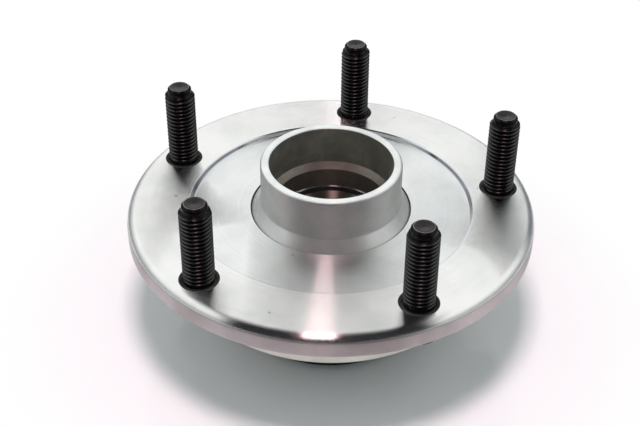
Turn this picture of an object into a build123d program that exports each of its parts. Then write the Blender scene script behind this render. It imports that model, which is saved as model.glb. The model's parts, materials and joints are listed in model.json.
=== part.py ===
from build123d import *
import os
from math import atan2, cos, pi, radians, sin, sqrt, tan

# Wheel hub unit for a light van: a wheel hub that turns in a double-row angular contact ball bearing.
# Millimetres. The origin is the centre of the face the wheel is clamped against, and +Z points outboard,
# along the axis, towards the wheel. All heights are measured from that face.

# Wheel flange, sized from the circle that the wheel studs stand on
STUD_CIRCLE_DIA = 160.0
FLANGE_EDGE_MARGIN = 14.0
FLANGE_THICKNESS = 10.7
FLANGE_RIM_ROUND = 4.0
FLANGE_BACK_ROUND = 1.0
RECESS_EDGE_MARGIN = 14.6
RECESS_DEPTH = 2.0
RECESS_WALL_RUN = 0.9

# Spigot that centres the wheel
SPIGOT_DIA = 64.8
SPIGOT_BORE = 56.6
SPIGOT_HEIGHT = 22.3
SPIGOT_EDGE_ROUND = 1.2
SPIGOT_BORE_DEPTH = 18.6
SPIGOT_BORE_ROUND = 0.7
FOOT_DIA = 73.4
FOOT_HEIGHT = 3.3
FOOT_FILLET = 2.5
FOOT_GROOVE = 0.5

# Well for the axle nut
WELL_DIA = 51.4
WELL_DEPTH = 9.0
WELL_TAPER = 2.9
WELL_CORNER = 0.5
SEAT_BORE = 43.8

# Splined bore for the drive shaft
SPLINE_TEETH = 30
SPLINE_MINOR_DIA = 30.4
SPLINE_TOOTH_HEIGHT = 1.3
SPLINE_FLANK_ANGLE = 30.0
SPLINE_SPACE_SHARE = 0.56
SHAFT_RELIEF_DIA = 35.0
SHAFT_RELIEF_DEPTH = 8.6
SHAFT_MOUTH_CHAMFER = 3.4

# Wheel studs
STUD_COUNT = 5
STUD_START_ANGLE = 9.9
STUD_THREAD_DIA = 14.0
STUD_THREAD_PITCH = 2.0
THREAD_DEPTH_SHARE = 0.6134
THREAD_FLANK_ANGLE = 30.0
STUD_NECK_DIA = 13.6
STUD_THREAD_START = 1.4
STUD_REACH = 39.8
STUD_DOG_DIA = 11.0
STUD_DOG_LENGTH = 2.9
STUD_DOG_CHAMFER = 1.0
STUD_POINT_RUN = 1.3
STUD_DISH_DIA = 6.6
STUD_DISH_DEPTH = 0.35
STUD_SERRATION_DIA = 15.2
STUD_HEAD_DIA = 19.4
STUD_HEAD_THICKNESS = 5.2
STUD_HEAD_CHAMFER = 0.7
STUD_SINK_DIA = 17.8
STUD_PRESS_GAP = 0.01
CUT_OVERRUN = 1.0

# Bearing
BALL_DIA = 12.7
BALL_COUNT = 14
BALL_CIRCLE_DIA = 69.0
ROW_SPACING = 21.2
ROW_DEPTH = 28.9
CONTACT_ANGLE = 38.0
GROOVE_CONFORMITY = 0.52
INNER_SHOULDER_DIA = 66.0
OUTER_SHOULDER_DIA = 72.0
SPLIT_BELOW_ROW = 10.6

# Inner ring and the rolled collar that holds it
INNER_RING_BORE = 49.0
INNER_RING_TAIL = 10.5
INNER_RING_CHAMFER = 1.5
COLLAR_DIA = 62.0
COLLAR_THICKNESS = 4.0
COLLAR_ROUND = 2.0

# Back of the hub
ROOT_FACE_DEPTH = 16.0
ROOT_FACE_DIA = 99.0
ROOT_CONE_RUN = 12.0
ROOT_FILLET = 1.6

# Outer ring
OUTER_BODY_DIA = 92.4
OUTER_FACE_GAP = 1.6
KNUCKLE_FACE_DEPTH = 36.7
KNUCKLE_FLANGE_DIA = 140.0
KNUCKLE_FLANGE_THICKNESS = 12.0
KNUCKLE_SPIGOT_DIA = 91.4
KNUCKLE_SPIGOT_LENGTH = 24.6
KNUCKLE_SPIGOT_CHAMFER = 1.5
KNUCKLE_FLANGE_ROUND = 1.2
KNUCKLE_FILLET = 2.5
KNUCKLE_BOLT_COUNT = 4
KNUCKLE_BOLT_CIRCLE_DIA = 116.0
KNUCKLE_BOLT_BORE = 10.5
KNUCKLE_BOLT_START = 45.0

# O-ring on the spigot
O_RING_THICKNESS = 2.6
O_RING_PROUD = 0.35
O_RING_GROOVE_WIDTH = 3.2
O_RING_DEPTH = 4.0

# Cages
CAGE_WALL = 4.4
CAGE_RING_RADIUS = 36.2
CAGE_LEAN = 3.4
CAGE_RING_REACH = 7.6
CAGE_PRONG_REACH = 4.5
CAGE_POCKET_GAP = 0.15
CAGE_SLOT_WIDTH = 1.6
CAGE_SLOT_DEPTH = 2.4

# Seals
SEAL_SEAT_DIA = 82.6
SEAL_SHEET = 0.8
OUTBOARD_SEAL_WIDTH = 3.3
INBOARD_SEAL_WIDTH = 3.2
SEAL_WEB_BORE = 72.4
LIP_THICKNESS = 0.9
ENCODER_THICKNESS = 0.7

# Clearances
RACE_GAP = 0.05
LIP_GAP = 0.15
SLINGER_GAP = 0.6
SEAL_FACE_GAP = 0.2


class Bend:
    """Middle point of an arc in a section outline, between the two corners beside it."""

    def __init__(self, radius, height):
        self.middle = (radius, height)


def round_corner(before, corner, after, rounding):
    """Start, middle and end of the arc that rounds a corner."""
    to_before = (Vector(*before) - Vector(*corner)).normalized()
    to_after = (Vector(*after) - Vector(*corner)).normalized()
    half_angle = radians(to_before.get_angle(to_after)) / 2
    setback = rounding / tan(half_angle)
    inward = (to_before + to_after).normalized()
    middle = Vector(*corner) + inward * (rounding / sin(half_angle) - rounding)
    return Vector(*corner) + to_before * setback, middle, Vector(*corner) + to_after * setback


def section(steps):
    """Face in the XZ plane from a closed run of steps.

    A step is a corner (radius, height), a rounded corner (radius, height, rounding), or a Bend between two corners.
    """
    corners = [step for step in steps if not isinstance(step, Bend)]
    ends = []
    edges = []
    for index, corner in enumerate(corners):
        before = corners[index - 1][:2]
        after = corners[(index + 1) % len(corners)][:2]
        if len(corner) == 3:
            start, middle, end = round_corner(before, corner[:2], after, corner[2])
            edges.append(ThreePointArc(start, middle, end))
            ends.append((start, end))
        else:
            ends.append((Vector(*corner), Vector(*corner)))
    bends = bends_after(steps)
    for index in range(len(corners)):
        leave = ends[index][1]
        arrive = ends[(index + 1) % len(corners)][0]
        if index in bends:
            edges.append(ThreePointArc(leave, Vector(*bends[index]), arrive))
        else:
            edges.append(Line(leave, arrive))
    return Plane.XZ * make_face(edges)


def bends_after(steps):
    """Middle points of the bends, by the number of the corner that each one follows."""
    found = {}
    corner_number = -1
    for step in steps:
        if isinstance(step, Bend):
            found[corner_number] = step.middle
        else:
            corner_number += 1
    return found


def turned(steps):
    """Solid of revolution about the axis from its section outline."""
    return revolve(section(steps), Axis.Z, 360)


def mirrored_steps(steps, height):
    """The same outline turned over about a height."""
    flipped = []
    for step in steps:
        if isinstance(step, Bend):
            flipped.append(Bend(step.middle[0], 2 * height - step.middle[1]))
        else:
            flipped.append((step[0], 2 * height - step[1]) + tuple(step[2:]))
    return flipped


# Levels along the axis, from the wheel face downwards
flange_back = -FLANGE_THICKNESS
recess_floor = -RECESS_DEPTH
well_floor = -WELL_DEPTH
root_face = -ROOT_FACE_DEPTH
outboard_row = -ROW_DEPTH
inboard_row = outboard_row - ROW_SPACING
rows_middle = (outboard_row + inboard_row) / 2
split_level = outboard_row - SPLIT_BELOW_ROW
inner_ring_end = inboard_row - INNER_RING_TAIL
collar_end = inner_ring_end - COLLAR_THICKNESS
outer_ring_top = root_face - OUTER_FACE_GAP
knuckle_face = -KNUCKLE_FACE_DEPTH
outer_ring_end = knuckle_face - KNUCKLE_SPIGOT_LENGTH
o_ring_level = knuckle_face - O_RING_DEPTH
outboard_seal_floor = outer_ring_top - OUTBOARD_SEAL_WIDTH
inboard_seal_floor = outer_ring_end + INBOARD_SEAL_WIDTH

# Sizes that follow from the ball
ball_radius = BALL_DIA / 2
row_radius = BALL_CIRCLE_DIA / 2
groove_radius = GROOVE_CONFORMITY * BALL_DIA
groove_shift = groove_radius - ball_radius - RACE_GAP
shift_in = groove_shift * cos(radians(CONTACT_ANGLE))
shift_along = groove_shift * sin(radians(CONTACT_ANGLE))
inner_shoulder = INNER_SHOULDER_DIA / 2
outer_shoulder = OUTER_SHOULDER_DIA / 2
inner_groove_centre = row_radius + shift_in
outer_groove_centre = row_radius - shift_in
inner_track = inner_groove_centre - groove_radius
outer_track = outer_groove_centre + groove_radius

# Sizes shared by pieces that meet
seal_seat = SEAL_SEAT_DIA / 2
spindle_seat = INNER_RING_BORE / 2
slinger_face = inner_ring_end + SEAL_SHEET
knuckle_spigot = KNUCKLE_SPIGOT_DIA / 2
spline_minor = SPLINE_MINOR_DIA / 2
spline_major = spline_minor + SPLINE_TOOTH_HEIGHT
stud_circle = STUD_CIRCLE_DIA / 2
stud_hole = STUD_SERRATION_DIA / 2 + STUD_PRESS_GAP


def groove_arc(centre_radius, centre_height, edge_radius, side):
    """Reach of a groove along the axis at its edge, and the bend halfway from its deepest point to that edge.

    side is -1 for a groove whose deepest point faces the axis and +1 for one whose deepest point faces away.
    """
    run = abs(edge_radius - centre_radius)
    reach = sqrt(groove_radius**2 - run**2)
    half_angle = atan2(reach, run) / 2
    bend_radius = centre_radius + side * groove_radius * cos(half_angle)
    bend_height = centre_height - side * groove_radius * sin(half_angle)
    return reach, Bend(bend_radius, bend_height)


def outboard_inner_race():
    """Steps of the hub's raceway, from its shoulder at the outboard side down to the track."""
    centre = outboard_row - shift_along
    reach, bend = groove_arc(inner_groove_centre, centre, inner_shoulder, -1)
    return [(inner_shoulder, centre + reach), bend, (inner_track, centre)]


def outboard_outer_race():
    """Steps of the outer ring's outboard raceway, from the track down to its shoulder at the middle."""
    centre = outboard_row + shift_along
    reach, bend = groove_arc(outer_groove_centre, centre, outer_shoulder, 1)
    return [(outer_track, centre), bend, (outer_shoulder, centre - reach)]


def hub_outline():
    """Half section of the hub: spigot, flange and spindle outside, then the bore from the inboard end up."""
    spigot = SPIGOT_DIA / 2
    foot = FOOT_DIA / 2
    recess = stud_circle - RECESS_EDGE_MARGIN
    rim = stud_circle + FLANGE_EDGE_MARGIN
    root = ROOT_FACE_DIA / 2
    collar = COLLAR_DIA / 2
    relief = SHAFT_RELIEF_DIA / 2
    relief_floor = collar_end + SHAFT_RELIEF_DEPTH
    mouth = relief + SHAFT_MOUTH_CHAMFER
    well = WELL_DIA / 2
    seat_bore = SEAT_BORE / 2
    bore = SPIGOT_BORE / 2
    bore_end = SPIGOT_HEIGHT - SPIGOT_BORE_DEPTH
    outside = [
        (spigot, SPIGOT_HEIGHT, SPIGOT_EDGE_ROUND),
        (spigot, FOOT_HEIGHT, FOOT_FILLET),
        (foot, recess_floor - FOOT_GROOVE),
        (foot + FOOT_GROOVE, recess_floor),
        (recess - RECESS_WALL_RUN, recess_floor),
        (recess, 0),
        (rim, 0, FLANGE_RIM_ROUND),
        (rim, flange_back, FLANGE_BACK_ROUND),
        (root + ROOT_CONE_RUN, flange_back),
        (root, root_face),
        (inner_shoulder, root_face, ROOT_FILLET),
    ]
    spindle = outboard_inner_race() + [
        (inner_track, split_level),
        (spindle_seat, split_level),
        (spindle_seat, inner_ring_end + INNER_RING_CHAMFER),
        (spindle_seat + INNER_RING_CHAMFER, inner_ring_end),
        (collar, inner_ring_end),
        (collar, collar_end, COLLAR_ROUND),
    ]
    inside = [
        (mouth, collar_end),
        (relief, collar_end + SHAFT_MOUTH_CHAMFER),
        (relief, relief_floor),
        (spline_minor, relief_floor + relief - spline_minor),
        (spline_minor, well_floor - (seat_bore - spline_minor)),
        (seat_bore, well_floor),
        (well - WELL_CORNER, well_floor),
        (well, well_floor + WELL_CORNER),
        (well, bore_end - WELL_TAPER),
        (bore, bore_end),
        (bore, SPIGOT_HEIGHT, SPIGOT_BORE_ROUND),
    ]
    return outside + spindle + inside


def spline_spaces():
    """The gaps between the spline teeth, cut outwards from the minor diameter over the whole bore."""
    pitch = 2 * pi * spline_minor / SPLINE_TEETH
    mouth_half = pitch * SPLINE_SPACE_SHARE / 2
    root_half = mouth_half - SPLINE_TOOTH_HEIGHT * tan(radians(SPLINE_FLANK_ANGLE))
    inset = SPLINE_TOOTH_HEIGHT
    mouth_half_inset = mouth_half + inset * tan(radians(SPLINE_FLANK_ANGLE))
    space = Polyline(
        (spline_minor - inset, -mouth_half_inset),
        (spline_major, -root_half),
        (spline_major, root_half),
        (spline_minor - inset, mouth_half_inset),
        close=True,
    )
    pattern = PolarLocations(0, SPLINE_TEETH)
    spaces = Sketch() + [place * make_face(space) for place in pattern]
    return Pos(0, 0, collar_end) * extrude(spaces, well_floor - collar_end)


def stud_places():
    return PolarLocations(stud_circle, STUD_COUNT, start_angle=STUD_START_ANGLE)


def stud_hole_cut():
    """Pressed stud's hole through the flange, with a countersink on the wheel side."""
    sink = STUD_SINK_DIA / 2
    return turned(
        [
            (0, flange_back - CUT_OVERRUN),
            (stud_hole, flange_back - CUT_OVERRUN),
            (stud_hole, stud_hole - sink),
            (sink, 0),
            (sink, CUT_OVERRUN),
            (0, CUT_OVERRUN),
        ]
    )


def wheel_hub():
    hub = turned(hub_outline()) - spline_spaces()
    return hub - [place * stud_hole_cut() for place in stud_places()]


def thread_outline(start, end):
    """Half section of the studs' thread: one groove in every pitch, with flat crests and a flat root."""
    thread = STUD_THREAD_DIA / 2
    depth = THREAD_DEPTH_SHARE * STUD_THREAD_PITCH
    crest = STUD_THREAD_PITCH / 8
    flank = depth * tan(radians(THREAD_FLANK_ANGLE))
    steps = []
    for groove in range(int((end - start) / STUD_THREAD_PITCH)):
        low = start + crest + groove * STUD_THREAD_PITCH
        high = low + STUD_THREAD_PITCH - crest
        steps += [(thread, low), (thread - depth, low + flank), (thread - depth, high - flank), (thread, high)]
    return steps


def wheel_stud():
    """Press-fit stud: head behind the flange, serrated shank in it, then a neck, the thread and a dog point."""
    head = STUD_HEAD_DIA / 2
    head_back = flange_back - STUD_HEAD_THICKNESS
    shank = STUD_SERRATION_DIA / 2
    shank_end = stud_hole - STUD_SINK_DIA / 2
    neck = STUD_NECK_DIA / 2
    thread = STUD_THREAD_DIA / 2
    dog = STUD_DOG_DIA / 2
    dog_root = STUD_REACH - STUD_DOG_LENGTH
    dish = STUD_DISH_DIA / 2
    return turned(
        [
            (0, head_back),
            (head - STUD_HEAD_CHAMFER, head_back),
            (head, head_back + STUD_HEAD_CHAMFER),
            (head, flange_back),
            (shank, flange_back),
            (shank, shank_end - (shank - neck)),
            (neck, shank_end),
            (neck, STUD_THREAD_START - (thread - neck)),
            (thread, STUD_THREAD_START),
            *thread_outline(STUD_THREAD_START, dog_root - STUD_POINT_RUN),
            (thread, dog_root - STUD_POINT_RUN),
            (dog, dog_root),
            (dog, STUD_REACH - STUD_DOG_CHAMFER),
            (dog - STUD_DOG_CHAMFER, STUD_REACH),
            (dish, STUD_REACH),
            (0, STUD_REACH - STUD_DISH_DEPTH),
        ]
    )


def outer_ring_inside():
    """Bore of the outer ring from the outboard end down: seal seat, two raceways back to back, seal seat."""
    upper = [
        (seal_seat, outer_ring_top),
        (seal_seat, outboard_seal_floor - SEAL_FACE_GAP),
        (outer_track, outboard_seal_floor - SEAL_FACE_GAP),
    ]
    lower = [
        (outer_track, inboard_seal_floor + SEAL_FACE_GAP),
        (seal_seat, inboard_seal_floor + SEAL_FACE_GAP),
        (seal_seat, outer_ring_end),
    ]
    inboard_race = mirrored_steps(outboard_outer_race(), rows_middle)
    return upper + outboard_outer_race() + inboard_race[::-1] + lower


def outer_ring():
    """Stationary ring: body, flange for the knuckle bolts and the spigot that locates in the knuckle."""
    body = OUTER_BODY_DIA / 2
    rim = KNUCKLE_FLANGE_DIA / 2
    flange_top = knuckle_face + KNUCKLE_FLANGE_THICKNESS
    groove_floor = knuckle_spigot + O_RING_PROUD - O_RING_THICKNESS
    groove_top = o_ring_level + O_RING_GROOVE_WIDTH / 2
    groove_bottom = o_ring_level - O_RING_GROOVE_WIDTH / 2
    outside = [
        (knuckle_spigot - KNUCKLE_SPIGOT_CHAMFER, outer_ring_end),
        (knuckle_spigot, outer_ring_end + KNUCKLE_SPIGOT_CHAMFER),
        (knuckle_spigot, groove_bottom),
        (groove_floor, groove_bottom),
        (groove_floor, groove_top),
        (knuckle_spigot, groove_top),
        (knuckle_spigot, knuckle_face),
        (rim, knuckle_face, KNUCKLE_FLANGE_ROUND),
        (rim, flange_top, KNUCKLE_FLANGE_ROUND),
        (body, flange_top, KNUCKLE_FILLET),
        (body, outer_ring_top),
    ]
    ring = turned(outer_ring_inside() + outside)
    hole_depth = KNUCKLE_FLANGE_THICKNESS + 2 * CUT_OVERRUN
    bolt_hole = Pos(0, 0, knuckle_face - CUT_OVERRUN) * extrude(Circle(KNUCKLE_BOLT_BORE / 2), hole_depth)
    places = PolarLocations(KNUCKLE_BOLT_CIRCLE_DIA / 2, KNUCKLE_BOLT_COUNT, start_angle=KNUCKLE_BOLT_START)
    return ring - [place * bolt_hole for place in places]


def inboard_inner_ring():
    race = mirrored_steps(outboard_inner_race(), rows_middle)
    return turned(
        race
        + [
            (inner_track, split_level),
            (spindle_seat, split_level),
            (spindle_seat, inner_ring_end + INNER_RING_CHAMFER),
            (spindle_seat + INNER_RING_CHAMFER, inner_ring_end),
            (inner_shoulder, inner_ring_end),
        ]
    )


def ball(index, row):
    angle = index * 360 / BALL_COUNT
    return Rot(0, 0, angle) * Pos(row_radius, 0, row) * Sphere(ball_radius)


def cage_ring():
    """Leaning ring that the pockets are cut from, about its row's height, with its closed side towards +Z."""
    low = CAGE_RING_RADIUS - CAGE_LEAN
    half = CAGE_WALL / 2
    return turned(
        [
            (low - half, -CAGE_PRONG_REACH),
            (low + half, -CAGE_PRONG_REACH),
            (CAGE_RING_RADIUS + half, CAGE_RING_REACH),
            (CAGE_RING_RADIUS - half, CAGE_RING_REACH),
        ]
    )


def cage():
    """Snap-in cage: a closed ring and, round each ball, two prongs with a slot between one pair and the next."""
    pocket = Sphere(ball_radius + CAGE_POCKET_GAP)
    slot_run = 2 * CAGE_WALL + CAGE_LEAN
    slot_level = CAGE_SLOT_DEPTH / 2 - CAGE_PRONG_REACH
    slot = Pos(0, 0, slot_level) * Box(slot_run, CAGE_SLOT_WIDTH, CAGE_SLOT_DEPTH)
    pockets = [place * pocket for place in PolarLocations(row_radius, BALL_COUNT)]
    slots = [place * slot for place in PolarLocations(row_radius, BALL_COUNT, start_angle=180 / BALL_COUNT)]
    return cage_ring() - pockets - slots


def outboard_cage():
    return Pos(0, 0, outboard_row) * cage()


def inboard_cage():
    return Pos(0, 0, inboard_row) * cage().mirror(Plane.XY)


def outboard_seal_case():
    """Pressed steel shell in the outer ring's outboard mouth: a leg on the seat and a web towards the axis."""
    web = SEAL_WEB_BORE / 2
    leg = seal_seat - SEAL_SHEET
    floor = outboard_seal_floor
    return turned(
        [
            (seal_seat, outer_ring_top),
            (seal_seat, floor),
            (web, floor),
            (web, floor + SEAL_SHEET),
            (leg, floor + SEAL_SHEET),
            (leg, outer_ring_top),
        ]
    )


def outboard_seal_lips():
    """Rubber moulded into the case, with a grease lip and a longer dirt lip on the hub's seal land."""
    web = SEAL_WEB_BORE / 2
    leg = seal_seat - SEAL_SHEET
    land = inner_shoulder + LIP_GAP
    root = web - LIP_THICKNESS
    floor = outboard_seal_floor
    lip_top = floor + SEAL_SHEET + LIP_THICKNESS
    return turned(
        [
            (web, floor),
            (land, floor),
            (land, floor + LIP_THICKNESS / 2),
            (root, floor + LIP_THICKNESS),
            (land, lip_top),
            (land, lip_top + LIP_THICKNESS / 2),
            (root, lip_top),
            (leg - LIP_THICKNESS, lip_top),
            (leg - LIP_THICKNESS, outer_ring_top),
            (leg, outer_ring_top),
            (leg, floor + SEAL_SHEET),
            (web, floor + SEAL_SHEET),
        ]
    )


def inboard_seal_case():
    """Pressed steel shell in the outer ring's inboard mouth."""
    web = SEAL_WEB_BORE / 2
    leg = seal_seat - SEAL_SHEET
    floor = inboard_seal_floor
    return turned(
        [
            (seal_seat, outer_ring_end),
            (seal_seat, floor),
            (web, floor),
            (web, floor - SEAL_SHEET),
            (leg, floor - SEAL_SHEET),
            (leg, outer_ring_end),
        ]
    )


def inboard_seal_lips():
    """Rubber on the case's web, with one lip on the slinger's sleeve and one on its flange."""
    web = SEAL_WEB_BORE / 2
    sleeve = inner_shoulder + SEAL_SHEET + LIP_GAP
    floor = inboard_seal_floor
    web_face = floor - SEAL_SHEET
    flange_lip = slinger_face + LIP_GAP
    return turned(
        [
            (web, floor),
            (sleeve, floor),
            (sleeve, floor - LIP_THICKNESS / 2),
            (web - LIP_THICKNESS, web_face),
            (web + LIP_THICKNESS, flange_lip),
            (web + 1.5 * LIP_THICKNESS, flange_lip),
            (web + LIP_THICKNESS, web_face),
            (web, web_face),
        ]
    )


def seal_slinger():
    """Steel ring pressed on the inner ring: a sleeve, and a flange that throws water off and carries the encoder."""
    sleeve = inner_shoulder + SEAL_SHEET
    flange = seal_seat - SEAL_SHEET - SLINGER_GAP
    return turned(
        [
            (inner_shoulder, inner_ring_end),
            (flange, inner_ring_end),
            (flange, slinger_face),
            (sleeve, slinger_face),
            (sleeve, inboard_seal_floor),
            (inner_shoulder, inboard_seal_floor),
        ]
    )


def encoder_ring():
    """Flat magnetised rubber ring bonded to the slinger's flange, for the wheel speed sensor."""
    inner = inner_shoulder + SEAL_SHEET
    outer = seal_seat - SEAL_SHEET - SLINGER_GAP
    return turned(
        [
            (inner, inner_ring_end - ENCODER_THICKNESS),
            (outer, inner_ring_end - ENCODER_THICKNESS),
            (outer, inner_ring_end),
            (inner, inner_ring_end),
        ]
    )


def spigot_o_ring():
    section_radius = O_RING_THICKNESS / 2
    ring_radius = knuckle_spigot + O_RING_PROUD - section_radius
    return Pos(0, 0, o_ring_level) * Torus(ring_radius, section_radius)


def save(solid, name):
    export_step(solid, f"parts/{name}.step")


os.makedirs("parts", exist_ok=True)
save(wheel_hub(), "wheel_hub")
stud = wheel_stud()
for number, place in enumerate(stud_places(), start=1):
    save(place * stud, f"wheel_stud_{number}")
save(outer_ring(), "outer_ring")
save(inboard_inner_ring(), "inboard_inner_ring")
save(outboard_cage(), "outboard_cage")
save(inboard_cage(), "inboard_cage")
for index in range(BALL_COUNT):
    save(ball(index, outboard_row), f"outboard_ball_{index + 1:02d}")
    save(ball(index, inboard_row), f"inboard_ball_{index + 1:02d}")
save(outboard_seal_case(), "outboard_seal_case")
save(outboard_seal_lips(), "outboard_seal_lips")
save(inboard_seal_case(), "inboard_seal_case")
save(inboard_seal_lips(), "inboard_seal_lips")
save(seal_slinger(), "seal_slinger")
save(encoder_ring(), "encoder_ring")
save(spigot_o_ring(), "spigot_o_ring")
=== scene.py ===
# %% [markdown]
# # A wheel hub unit, dressed in its real finishes
# The imported model comes in first and stays as it is: every piece made below sits round it, in
# metres, and rides on one of its bodies.

# %% Load the fixed frame
import json
import math

import bmesh
import bpy
from mathutils import Matrix, Vector


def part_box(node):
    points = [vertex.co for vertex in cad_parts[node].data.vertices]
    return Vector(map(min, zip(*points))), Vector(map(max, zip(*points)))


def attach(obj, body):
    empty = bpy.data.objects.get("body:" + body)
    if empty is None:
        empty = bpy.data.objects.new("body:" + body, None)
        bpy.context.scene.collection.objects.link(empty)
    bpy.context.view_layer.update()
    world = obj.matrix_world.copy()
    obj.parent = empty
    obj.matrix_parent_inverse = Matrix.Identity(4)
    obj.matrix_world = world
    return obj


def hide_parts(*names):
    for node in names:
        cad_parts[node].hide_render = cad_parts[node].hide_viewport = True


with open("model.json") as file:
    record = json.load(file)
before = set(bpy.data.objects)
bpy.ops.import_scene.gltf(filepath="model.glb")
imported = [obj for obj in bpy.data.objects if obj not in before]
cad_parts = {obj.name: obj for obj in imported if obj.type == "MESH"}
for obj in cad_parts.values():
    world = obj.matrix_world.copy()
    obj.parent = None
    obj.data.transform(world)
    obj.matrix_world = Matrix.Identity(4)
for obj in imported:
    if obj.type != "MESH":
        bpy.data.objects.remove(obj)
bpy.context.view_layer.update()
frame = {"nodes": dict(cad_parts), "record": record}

MM = 0.001
mounts = {mount["name"]: mount["dims"] for mount in frame["record"]["mounts"]}

# %% [markdown]
# ## Sizes taken from the model
# A piece that replaces a node has to stay where the node is, so the main sizes are read from the
# model instead of being typed again: boxes give the heights, and the record's mounts give the
# round fits. All sizes below are in millimetres, and turned to metres where a vertex is made.

# %% Read the sizes
hub_low, hub_high = (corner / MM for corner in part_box("wheel_hub"))
ring_low, ring_high = (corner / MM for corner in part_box("outer_ring"))
bearing_low, bearing_high = (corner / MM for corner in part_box("inboard_inner_ring"))
RIM = hub_high.x
SPIGOT_TOP = hub_high.z
SPIGOT = mounts["wheel_spigot"]["r_mm"]
BORE = mounts["cap_bore"]["r_mm"]
WELL = mounts["nut_well"]["r_mm"]
STUD_CIRCLE = mounts["wheel_studs"]["pcd_mm"] / 2
THREAD = mounts["wheel_studs"]["stud_r_mm"]
KNUCKLE_SPIGOT = mounts["knuckle_spigot"]["r_mm"]
COLLAR_END = hub_low.z
print(f"flange {2 * RIM:.1f} mm, spigot {2 * SPIGOT:.1f} mm, studs on {2 * STUD_CIRCLE:.0f} mm")

# %% [markdown]
# ## Tools of this script
# Nearly every piece of a bearing is turned, so one helper draws half of a section as a few joined
# points, rounds the corners that carry a third number, and spins the outline about the axis.
# Spinning keeps the rings perfectly round and gives even quads, which reflect light cleanly.

# %% Spin a half section
TURN_STEPS = 192
SHARP_ANGLE = 32


def outline(bm, steps, closed=True):
    """Joined points in the XZ plane from (radius, height) in mm; a third number is a rounding."""
    verts = [bm.verts.new((step[0] * MM, 0, step[1] * MM)) for step in steps]
    pairs = list(zip(verts, verts[1:]))
    if closed:
        pairs.append((verts[-1], verts[0]))
    for pair in pairs:
        bm.edges.new(pair)
    for vert, step in zip(verts, steps):
        if len(step) == 3:
            bmesh.ops.bevel(bm, geom=[vert], offset=step[2] * MM, offset_type="OFFSET", segments=5,
                            profile=0.5, affect="VERTICES", material=-1)


def spin_round(bm, count=TURN_STEPS):
    """Spins everything in the bmesh once round the axis and closes the seam."""
    geom = bm.verts[:] + bm.edges[:]
    bmesh.ops.spin(bm, geom=geom, cent=(0, 0, 0), axis=(0, 0, 1), angle=2 * math.pi, steps=count,
                   use_merge=True)
    bmesh.ops.remove_doubles(bm, verts=bm.verts[:], dist=0.0001 * MM)
    bmesh.ops.recalc_face_normals(bm, faces=bm.faces[:])


def finish_mesh(bm, name, sharp=SHARP_ANGLE):
    """Ends a bmesh as an object at the origin, smooth but for edges sharper than some degrees."""
    mesh = bpy.data.meshes.new(name)
    bm.to_mesh(mesh)
    bm.free()
    mesh.shade_smooth()
    mesh.set_sharp_from_angle(angle=math.radians(sharp))
    piece = bpy.data.objects.new(name, mesh)
    bpy.context.scene.collection.objects.link(piece)
    return piece


def turned(name, steps):
    """A ring or shaft spun from its half section."""
    bm = bmesh.new()
    outline(bm, steps)
    spin_round(bm)
    piece = finish_mesh(bm, name)
    print(name, len(piece.data.polygons), "faces")
    return piece


# %% [markdown]
# Holes and splines are cut the way the real ones are: a solid the shape of the drill or broach is
# taken away with a Boolean. The result is applied at once, so the piece carries plain geometry.

# %% Cut with a tool-shaped solid
def cut(piece, cutter):
    """Takes the cutter away from the piece and applies the result."""
    boolean = piece.modifiers.new("cut", "BOOLEAN")
    boolean.object = cutter
    boolean.operation = "DIFFERENCE"
    boolean.solver = "EXACT"
    evaluated = piece.evaluated_get(bpy.context.evaluated_depsgraph_get())
    result = bpy.data.meshes.new_from_object(evaluated)
    piece.modifiers.clear()
    piece.data = result
    bpy.data.objects.remove(cutter)
    piece.data.shade_smooth()
    piece.data.set_sharp_from_angle(angle=math.radians(SHARP_ANGLE))
    print(piece.name, "after the cut", len(piece.data.polygons), "faces")


def even_normals(piece):
    """Big flat faces win over narrow fillets, so a flat stays flat in its reflections."""
    weighted = piece.modifiers.new("even_normals", "WEIGHTED_NORMAL")
    weighted.keep_sharp = True


# %% [markdown]
# ## Tools for the finishes
# Colours are written as the sRGB hex codes that a paint chart would give and turned to linear in
# one place. One function adds a node with its settings and its links. A node given as an input
# stands for its first output, so only the other outputs are named, which keeps materials readable.

# %% Colour and node helpers
WHITE = (1, 1, 1, 1)


def srgb(code):
    """Linear colour, with an alpha of 1, from a hex code."""
    parts = [int(code[i:i + 2], 16) / 255 for i in (0, 2, 4)]
    return [p / 12.92 if p <= 0.04045 else ((p + 0.055) / 1.055) ** 2.4 for p in parts] + [1.0]


def feed(node, inputs):
    """Gives inputs a value, or a link from a socket; a node stands for its first output."""
    for name, value in inputs.items():
        if isinstance(value, bpy.types.Node):
            value = value.outputs[0]
        if isinstance(value, bpy.types.NodeSocket):
            node.id_data.links.new(value, node.inputs[name])
        else:
            node.inputs[name].default_value = value


def add(tree, kind, inputs=None, **settings):
    node = tree.nodes.new(kind)
    for name, value in settings.items():
        setattr(node, name, value)
    feed(node, inputs or {})
    return node


def new_finish(name):
    """A new material, with its node tree, its Principled shader and the place on the piece."""
    finish = bpy.data.materials.new(name)
    finish.use_nodes = True
    tree = finish.node_tree
    place = add(tree, "ShaderNodeTexCoord").outputs["Object"]
    return finish, tree, tree.nodes["Principled BSDF"], place


def ramp_stops(node, stops):
    """Sets a colour ramp's stops from (place, hex code)."""
    elements = node.color_ramp.elements
    while len(elements) > len(stops):
        elements.remove(elements[-1])
    while len(elements) < len(stops):
        elements.new(1.0)
    for element, (place, code) in zip(elements, stops):
        element.position = place
        element.color = srgb(code)


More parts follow.
